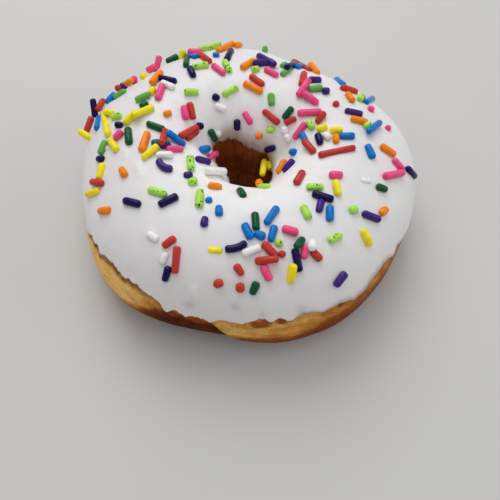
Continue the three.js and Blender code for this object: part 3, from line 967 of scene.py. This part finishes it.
def nearest_shares(first, second):
    """How near two rods' middle lines come, and the share along the first where they do."""
    shares = np.linspace(0, 1, SPAN_SAMPLES)
    ones = np.array([first.point_at(share)[:] for share in shares])
    others = np.array([second.point_at(share)[:] for share in shares])
    gaps = np.linalg.norm(ones[:, None] - others[None], axis=2)
    place = np.unravel_index(np.argmin(gaps), gaps.shape)
    return gaps[place], shares[place[0]]


def clear_of(rod, others):
    """Lifts a rod along its sight lines until it lies on those under it."""
    middle = rod.point_at(0.5)
    near = [other for other in others if (other.point_at(0.5) - middle).length < NEAR_REACH]
    for _ in range(LIFT_LIMIT):
        pushed = False
        for other in near:
            gap, share = nearest_shares(rod, other)
            if gap < TOUCH_SHARE * (rod.radius + other.radius):
                last = len(rod.knots) - 1
                for index, sight in enumerate(rod.sights):
                    weight = 1 - abs(share - index / last)
                    rod.knots[index] = rod.knots[index] + sight * (LIFT_STEP * weight)
                pushed = True
        if not pushed:
            return


def drawn_radius(sizes, draw, spread=RADIUS_SPREAD):
    return sizes.sprinkle_radius * draw.uniform(*spread)


def lying_rod(tree, colour, pixels, radius, sink):
    lift = radius * (1 - 2 * sink)
    knots = [knot_on(tree, pixel, lift)[0] for pixel in pixels]
    sights = [-sight_line(pixel) for pixel in pixels]
    return Rod(colour, radius, knots, sights)


def standing_rod(tree, colour, pixel, radius, draw):
    """A rod that stands in the frosting, its upper end towards the camera."""
    top, normal = knot_on(tree, pixel, radius * STANDING_PROUD)
    lean = Vector(draw.uniform(-STANDING_LEAN, STANDING_LEAN, 3))
    down = (sight_line(pixel) - normal * STANDING_UPRIGHT + lean).normalized()
    return Rod(colour, radius, [top, top + down * radius * STANDING_DEPTH], [-sight_line(pixel)] * 2)


def seen_rods(tree, table, sink_share, sizes, draw):
    rods = []
    for colour, *pixels in table:
        radius = drawn_radius(sizes, draw)
        sink = sink_share * draw.uniform(*SINK_SPREAD)
        if len(pixels) == 1:
            rods.append(standing_rod(tree, colour, pixels[0], radius, draw))
            continue
        rod = lying_rod(tree, colour, pixels, radius, sink)
        clear_of(rod, rods)
        rods.append(rod)
    return rods


def jutting_rods(tree, sizes, draw):
    """Straight rods that lie on the frosting where they touch it, and go on into the air over the hole."""
    rods = []
    for colour, touching, *pixels in JUTTING_RODS:
        radius = drawn_radius(sizes, draw, JUTTING_RADIUS_SPREAD)
        place, normal, _, _ = tree.ray_cast(CAMERA_PLACE, sight_line(touching))
        level = place + normal * (radius * JUTTING_LIFT)
        farther = [CAMERA_PLACE + sight_line(pixel) for pixel in pixels]
        knots = [intersect_line_plane(CAMERA_PLACE, far, level, normal) for far in farther]
        rods.append(Rod(colour, radius, knots))
    return rods


def rim_rods(tree, sizes, draw):
    """Rods beside the frosting's rim, each where its sight line passes nearest to it."""
    rods = []
    for colour, *pixels in RIM_RODS:
        knots = [beside(tree, sight_line(pixel))[0] for pixel in pixels]
        rods.append(Rod(colour, drawn_radius(sizes, draw), knots))
    return rods


def out_of_sight(tree, rod):
    """Whether the frosting hides the whole rod from the camera."""
    for share in SIGHT_SHARES:
        for way in SIGHT_OFFSETS:
            place = rod.point_at(share) + Vector(way) * rod.radius
            if tree.ray_cast(place, (CAMERA_PLACE - place).normalized())[0] is None:
                return False
    return True


def hidden_rods(tree, wall, frosting, rods, sizes, draw):
    """Scatters sprinkles over the frosting that the camera doesn't see, as densely as beside it."""
    polygons = frosting.data.polygons
    placed = []
    for index in draw.integers(0, len(polygons), HIDDEN_TRIES):
        face = polygons[int(index)]
        colour = HIDDEN_COLOURS[int(draw.integers(len(HIDDEN_COLOURS)))]
        chance = draw.random()
        start = face.center + face.normal * CLEARANCE
        blocked = any(solid.ray_cast(start, face.normal)[0] is not None for solid in (tree, wall))
        if blocked or chance > hidden_chance(face.center):
            continue
        rod = scattered_rod(tree, colour, face.center, face.normal, sizes, draw)
        crowded = any((other.point_at(0.5) - face.center).length < HIDDEN_SPACING for other in rods + placed)
        clear = not crowded and min(height_over_edge(knot) for knot in rod.knots) > EDGE_MARGIN
        if clear and out_of_sight(tree, rod):
            placed.append(rod)
    return placed


def height_over_edge(place):
    azimuth = np.arctan2(place.y - RING_MIDDLE[1], place.x - RING_MIDDLE[0])
    return place.z - outer_edge_height(azimuth)


def hidden_chance(place):
    """The sprinkles lie densest at the back left and thin out towards the front."""
    degrees = np.degrees(np.arctan2(place.y, place.x))
    return HIDDEN_LEAST + (1 - HIDDEN_LEAST) * hump(degrees, *HIDDEN_DENSE_RUN)


def scattered_rod(tree, colour, place, normal, sizes, draw):
    radius = drawn_radius(sizes, draw)
    side = normal.orthogonal().normalized()
    turn = draw.uniform(0, TAU)
    along = side * np.cos(turn) + normal.cross(side) * np.sin(turn)
    half = draw.uniform(*HIDDEN_LENGTHS) / 2
    lift = radius * (1 - 2 * sizes.sprinkle_sink)
    ends = []
    for step in (-half, half):
        near, out, _, _ = tree.find_nearest(place + along * step)
        ends.append(near + out * lift)
    return Rod(colour, radius, ends)


def add_rod(shape, template, rod, draw):
    """Adds one sprinkle's mesh to a bmesh, bent along its middle line and a little uneven."""
    count = len(shape.verts)
    shape.from_mesh(template)
    shape.verts.ensure_lookup_table()
    start = Vector(draw.uniform(0, ROD_DENT_REACH, 3))
    taper = draw.uniform(-TAPER_LIMIT, TAPER_LIMIT)
    half = (rod.point_at(1) - rod.point_at(0)).length / 2
    across = rod.across()
    for vert in shape.verts[count:]:
        out_x, out_y, along = vert.co
        spine = max(-1.0, min(1.0, along))
        share = (spine + 1) / 2
        forward = rod.direction_at(share)
        side = forward.cross(across).normalized()
        other = forward.cross(side)
        place = Vector((out_x, out_y, along * max(1.0, half / rod.radius)))
        swell = 1 + taper * spine + ROD_DENTS * noise.noise(place * ROD_DENT_FINENESS + start)
        offset = side * out_x + other * out_y + forward * (along - spine)
        vert.co = rod.point_at(share) + offset * (rod.radius * swell)


def make_sprinkles(sizes, colours):
    """Lays the sprinkles on the frosting, one piece for each colour."""
    draw = np.random.default_rng(sizes.seed)
    frosting = bpy.data.objects["frosting_coat"]
    depsgraph = bpy.context.evaluated_depsgraph_get()
    coat = BVHTree.FromObject(frosting, depsgraph)
    wall = BVHTree.FromObject(bpy.data.objects["dough_crust"], depsgraph)
    rods = seen_rods(coat, SEEN_RODS, sizes.sprinkle_sink, sizes, draw)
    rods += seen_rods(coat, SUNK_RODS, SUNK_SHARE, sizes, draw)
    rods += jutting_rods(coat, sizes, draw)
    rods += rim_rods(coat, sizes, draw)
    rods += hidden_rods(coat, wall, frosting, rods, sizes, draw)
    straight = rod_template(SPINE_STEPS)
    bent = rod_template(BENT_SPINE_STEPS)
    for colour in sorted({rod.colour for rod in rods}):
        shape = bmesh.new()
        for rod in rods:
            if rod.colour == colour:
                add_rod(shape, straight if len(rod.knots) == 2 else bent, rod, draw)
        finished_piece(f"sprinkles_{colour}", shape, sprinkle_material(colour, colours))
    bpy.data.meshes.remove(straight)
    bpy.data.meshes.remove(bent)


# ---------------------------------------------------------------- materials


def new_material(name):
    """A material with its node tree and its shader."""
    material = bpy.data.materials.new(name)
    material.use_nodes = True
    tree = material.node_tree
    return material, tree, tree.nodes["Principled BSDF"]


def add_node(tree, kind, **settings):
    node = tree.nodes.new(kind)
    for name, value in settings.items():
        setattr(node, name, value)
    return node


def plug(tree, socket, value):
    """Links an output to a socket, or sets the socket to a plain value."""
    if isinstance(value, bpy.types.NodeSocket):
        tree.links.new(value, socket)
    else:
        socket.default_value = value


def rgba(colour):
    return (*colour, 1)


def math(tree, operation, first, second, clamp=False):
    node = add_node(tree, "ShaderNodeMath", operation=operation, use_clamp=clamp)
    plug(tree, node.inputs[0], first)
    plug(tree, node.inputs[1], second)
    return node.outputs[0]


def mixed(tree, factor, first, second):
    """One colour passing into another by a factor."""
    node = add_node(tree, "ShaderNodeMix", data_type="RGBA")
    plug(tree, node.inputs["Factor"], factor)
    plug(tree, node.inputs[6], first)
    plug(tree, node.inputs[7], second)
    return node.outputs[2]


def ranged(tree, value, span, results=(0.0, 1.0)):
    """Carries what a value does over a span to the range of two results."""
    node = add_node(tree, "ShaderNodeMapRange")
    plug(tree, node.inputs["Value"], value)
    for name, number in zip(("From Min", "From Max", "To Min", "To Max"), (*span, *results)):
        node.inputs[name].default_value = number
    return node.outputs["Result"]


def attribute(tree, name):
    return add_node(tree, "ShaderNodeAttribute", attribute_name=name).outputs["Fac"]


def object_place(tree):
    return add_node(tree, "ShaderNodeTexCoord").outputs["Object"]


def grain(tree, place, length, detail):
    """Noise of 0 to 1 that changes over a length in metres."""
    node = add_node(tree, "ShaderNodeTexNoise")
    plug(tree, node.inputs["Vector"], place)
    node.inputs["Scale"].default_value = 1 / length
    node.inputs["Detail"].default_value = detail
    return node.outputs[0]


def bumped(tree, height, distance, strength):
    node = add_node(tree, "ShaderNodeBump")
    node.inputs["Strength"].default_value = strength
    node.inputs["Distance"].default_value = distance
    plug(tree, node.inputs["Height"], height)
    return node.outputs["Normal"]


def toned(tree, value, stops):
    """A colour ramp through stops of a position and a colour."""
    node = add_node(tree, "ShaderNodeValToRGB")
    ramp = node.color_ramp
    ramp.elements[0].position = stops[0][0]
    ramp.elements[1].position = stops[-1][0]
    for position, _ in stops[1:-1]:
        ramp.elements.new(position)
    for element, (_, colour) in zip(ramp.elements, stops):
        element.color = rgba(colour)
    plug(tree, node.inputs["Fac"], value)
    return node.outputs["Color"]


def let_light_in(shader, weight, radius, scale):
    """Lets light sink in and come out again beside where it fell."""
    shader.inputs["Subsurface Weight"].default_value = weight
    shader.inputs["Subsurface Radius"].default_value = radius
    shader.inputs["Subsurface Scale"].default_value = scale


def crust_material(colours):
    """Fried crust: dark below, a pale band round the middle, mottled, browned under the frosting, with
    painted shadow of the frosting's edge there.
    """
    material, tree, shader = new_material("fried_crust")
    place = object_place(tree)
    cloud = grain(tree, place, *CRUST_CLOUDS)
    fine = grain(tree, place, *CRUST_SPECKS)
    patches = ranged(tree, cloud, MOST_OF_NOISE, CLOUD_TONES)
    specks = ranged(tree, fine, MOST_OF_NOISE, SPECK_TONES)
    tone = math(tree, "ADD", math(tree, "ADD", patches, specks), attribute(tree, "tone"), clamp=True)
    stops = (
        (0.0, colours.crust_dark),
        (0.25, colours.crust_russet),
        (0.5, colours.crust_brown),
        (0.75, colours.crust_gold),
        (1.0, colours.crust_pale),
    )
    colour = toned(tree, tone, stops)
    # partly real browning, partly painted shadow under the frosting's edge
    uneven = ranged(tree, cloud, BROWNED_AND_SHADE_SPAN, BROWNED_AND_SHADE_STRENGTHS)
    browned_and_shaded = math(tree, "MULTIPLY", attribute(tree, "browned_and_shaded"), uneven)
    colour = mixed(tree, browned_and_shaded, colour, rgba(colours.crust_edge_and_shade))
    pits = ranged(tree, grain(tree, place, *CRUST_PITS), CRUST_PITS_SPAN, CRUST_PITS_SHARES)
    colour = mixed(tree, pits, colour, rgba(colours.crust_russet))
    blister = math(tree, "MULTIPLY", attribute(tree, "blister"), BLISTER_STRENGTH)
    colour = mixed(tree, blister, colour, rgba(colours.blister))
    plug(tree, shader.inputs["Base Color"], colour)
    plug(tree, shader.inputs["Roughness"], ranged(tree, cloud, MOST_OF_NOISE, CRUST_ROUGHNESS))
    shader.inputs["Specular IOR Level"].default_value = CRUST_SPECULAR
    height = math(tree, "ADD", math(tree, "MULTIPLY", fine, CRUST_SPECK_HEIGHT), cloud)
    plug(tree, shader.inputs["Normal"], bumped(tree, height, *CRUST_BUMP))
    return material


def frosting_material(colours):
    """White frosting: satin, painted whiter on the hole's slope and low outside as painted light, lilac grey
    as painted shade in the dents, and the crust showing where it is thin, with painted shade in the hole.
    """
    material, tree, shader = new_material("white_frosting")
    place = object_place(tree)
    drift = grain(tree, place, *FROSTING_DRIFT)
    soft = grain(tree, place, *FROSTING_SOFTNESS)
    drifting = ranged(tree, drift, MIDDLE_OF_NOISE, FROSTING_PATCHES)
    # painted light: the frosting is painted whiter by this share
    brightened = math(tree, "MULTIPLY", attribute(tree, "painted_light_share"), drifting)
    colour = mixed(tree, brightened, rgba(colours.frosting_cool), rgba(colours.frosting))
    # painted shade: the dents are painted a lilac grey
    dent_shade = math(tree, "MULTIPLY", attribute(tree, "dent_shade"), DENT_SHADE_STRENGTH)
    colour = mixed(tree, dent_shade, colour, rgba(colours.frosting_dent_shade))
    patchy = ranged(tree, soft, MIDDLE_OF_NOISE, FROSTING_PATCHES)
    # partly the crust showing through thin frosting, partly painted shade of the hole
    thin_and_shade = math(tree, "MULTIPLY", attribute(tree, "thin_and_shade"), patchy)
    colour = mixed(tree, thin_and_shade, colour, rgba(colours.frosting_thin_and_shade))
    plug(tree, shader.inputs["Base Color"], colour)
    plug(tree, shader.inputs["Roughness"], ranged(tree, soft, MIDDLE_OF_NOISE, FROSTING_ROUGHNESS))
    plug(tree, shader.inputs["Normal"], bumped(tree, soft, *FROSTING_BUMP))
    shader.inputs["Specular IOR Level"].default_value = FROSTING_SPECULAR
    let_light_in(shader, *FROSTING_DEPTH_OF_LIGHT)
    return material


def wax_group():
    """Waxy sugar: a colour with faint clouds and dark specks, and the small bumps of its surface."""
    name = "waxy_sugar"
    if name in bpy.data.node_groups:
        return bpy.data.node_groups[name]
    group = bpy.data.node_groups.new(name, "ShaderNodeTree")
    sockets = (
        ("INPUT", "Colour", "Color"),
        ("INPUT", "Speck Colour", "Color"),
        ("INPUT", "Speck Amount", "Float"),
        ("OUTPUT", "Colour", "Color"),
        ("OUTPUT", "Roughness", "Float"),
        ("OUTPUT", "Normal", "Vector"),
    )
    for way, label, kind in sockets:
        group.interface.new_socket(label, in_out=way, socket_type=f"NodeSocket{kind}")
    given = add_node(group, "NodeGroupInput")
    result = add_node(group, "NodeGroupOutput")
    place = object_place(group)
    cloud = grain(group, place, *SUGAR_CLOUDS)
    pits = grain(group, place, *SUGAR_PITS)
    shade = add_node(group, "ShaderNodeHueSaturation")
    plug(group, shade.inputs["Value"], ranged(group, cloud, MOST_OF_NOISE, SUGAR_VALUES))
    plug(group, shade.inputs["Color"], given.outputs["Colour"])
    speck = ranged(group, grain(group, place, *SUGAR_SPECKS), SUGAR_SPECKS_SPAN)
    speck = math(group, "MULTIPLY", speck, given.outputs["Speck Amount"], clamp=True)
    plug(group, result.inputs["Colour"], mixed(group, speck, shade.outputs[0], given.outputs["Speck Colour"]))
    plug(group, result.inputs["Roughness"], ranged(group, pits, MIDDLE_OF_NOISE, SUGAR_ROUGHNESS))
    plug(group, result.inputs["Normal"], bumped(group, pits, *SUGAR_BUMP))
    return group


def sprinkle_material(name, colours):
    material, tree, shader = new_material(f"sugar_{name}")
    wax = add_node(tree, "ShaderNodeGroup", node_tree=wax_group())
    wax.inputs["Colour"].default_value = rgba(getattr(colours, name))
    wax.inputs["Speck Colour"].default_value = rgba(colours.speck)
    wax.inputs["Speck Amount"].default_value = 1.0 if name == "lime" else 0.0
    plug(tree, shader.inputs["Base Color"], wax.outputs["Colour"])
    plug(tree, shader.inputs["Roughness"], wax.outputs["Roughness"])
    plug(tree, shader.inputs["Normal"], wax.outputs["Normal"])
    shader.inputs["Specular IOR Level"].default_value = SUGAR_SPECULAR
    if name == "white":
        let_light_in(shader, *WHITE_SUGAR_DEPTH_OF_LIGHT)
    return material


def floor_material(colours):
    material, tree, shader = new_material("plain_floor")
    shade = ranged(tree, grain(tree, object_place(tree), *FLOOR_CLOUDS), MIDDLE_OF_NOISE)
    paler = tuple(min(1.0, part * FLOOR_PALER) for part in colours.floor)
    plug(tree, shader.inputs["Base Color"], mixed(tree, shade, rgba(colours.floor), rgba(paler)))
    shader.inputs["Roughness"].default_value = FLOOR_ROUGHNESS
    return material


# ---------------------------------------------------------------- the stage


def make_floor(colours):
    shape = bmesh.new()
    bmesh.ops.create_grid(shape, x_segments=4, y_segments=4, size=FLOOR_HALF)
    mesh_object("floor", shape, floor_material(colours))


def add_lamp(name, azimuth, elevation, power, colour):
    """A square lamp that faces the doughnut."""
    lamp = bpy.data.lights.new(name, "AREA")
    lamp.size = LAMP_SIDE
    lamp.energy = power
    lamp.color = colour
    holder = new_object(name, lamp)
    out = Matrix.Rotation(np.radians(azimuth), 3, "Z") @ Matrix.Rotation(np.radians(-elevation), 3, "Y")
    holder.location = out @ Vector((LAMP_DISTANCE, 0, 0))
    holder.rotation_euler = (-holder.location).to_track_quat("-Z", "Y").to_euler()


def make_camera():
    lens = bpy.data.cameras.new("camera")
    lens.sensor_width = SENSOR_WIDTH
    lens.lens = SENSOR_WIDTH * FOCAL_PIXELS / PICTURE_SIDE
    lens.clip_start = CLIP_START
    camera = new_object("camera", lens)
    camera.location = CAMERA_PLACE
    camera.rotation_euler = (np.pi / 2 - CAMERA_TILT, 0, 0)
    bpy.context.scene.camera = camera


def make_sky():
    world = bpy.data.worlds.new("studio")
    world.use_nodes = True
    backing = world.node_tree.nodes["Background"]
    backing.inputs["Color"].default_value = SKY_COLOUR
    backing.inputs["Strength"].default_value = SKY_STRENGTH
    bpy.context.scene.world = world


# ---------------------------------------------------------------- operators and the panel


class DOUGHNUT_OT_dough(bpy.types.Operator):
    """Makes the fried dough ring"""

    bl_idname = "doughnut.dough"
    bl_label = "Make dough"

    def execute(self, context):
        make_dough(context.scene.doughnut_sizes, context.scene.doughnut_colours)
        return {"FINISHED"}


class DOUGHNUT_OT_frosting(bpy.types.Operator):
    """Makes the frosting over the dough's top"""

    bl_idname = "doughnut.frosting"
    bl_label = "Make frosting"

    def execute(self, context):
        make_frosting(context.scene.doughnut_sizes, context.scene.doughnut_colours)
        return {"FINISHED"}


class DOUGHNUT_OT_sprinkles(bpy.types.Operator):
    """Lays the sprinkles on the frosting"""

    bl_idname = "doughnut.sprinkles"
    bl_label = "Lay sprinkles"

    def execute(self, context):
        make_sprinkles(context.scene.doughnut_sizes, context.scene.doughnut_colours)
        return {"FINISHED"}


class DOUGHNUT_OT_stage(bpy.types.Operator):
    """Makes the floor, the lamps, the sky and the camera"""

    bl_idname = "doughnut.stage"
    bl_label = "Make stage"

    def execute(self, context):
        make_floor(context.scene.doughnut_colours)
        make_camera()
        make_sky()
        for lamp in LAMPS:
            add_lamp(*lamp)
        context.scene.view_settings.view_transform = "Standard"
        return {"FINISHED"}


class DOUGHNUT_PT_panel(bpy.types.Panel):
    """Lists what makes the doughnut"""

    bl_idname = "DOUGHNUT_PT_panel"
    bl_label = "Frosted doughnut"
    bl_space_type = "VIEW_3D"
    bl_region_type = "UI"
    bl_category = "Doughnut"

    def draw(self, context):
        for group in (context.scene.doughnut_sizes, context.scene.doughnut_colours):
            for name in group.__annotations__:
                self.layout.prop(group, name)
        for operator in OPERATORS:
            self.layout.operator(operator.bl_idname)


OPERATORS = (DOUGHNUT_OT_dough, DOUGHNUT_OT_frosting, DOUGHNUT_OT_sprinkles, DOUGHNUT_OT_stage)
CLASSES = (DoughnutSizes, DoughnutColours, *OPERATORS, DOUGHNUT_PT_panel)


def register():
    for kind in CLASSES:
        bpy.utils.register_class(kind)
    bpy.types.Scene.doughnut_sizes = PointerProperty(type=DoughnutSizes)
    bpy.types.Scene.doughnut_colours = PointerProperty(type=DoughnutColours)


def unregister():
    del bpy.types.Scene.doughnut_colours
    del bpy.types.Scene.doughnut_sizes
    for kind in reversed(CLASSES):
        bpy.utils.unregister_class(kind)


def main():
    register()
    bpy.ops.doughnut.dough()
    bpy.ops.doughnut.frosting()
    bpy.ops.doughnut.sprinkles()
    bpy.ops.doughnut.stage()


if __name__ == "__main__":
    main()
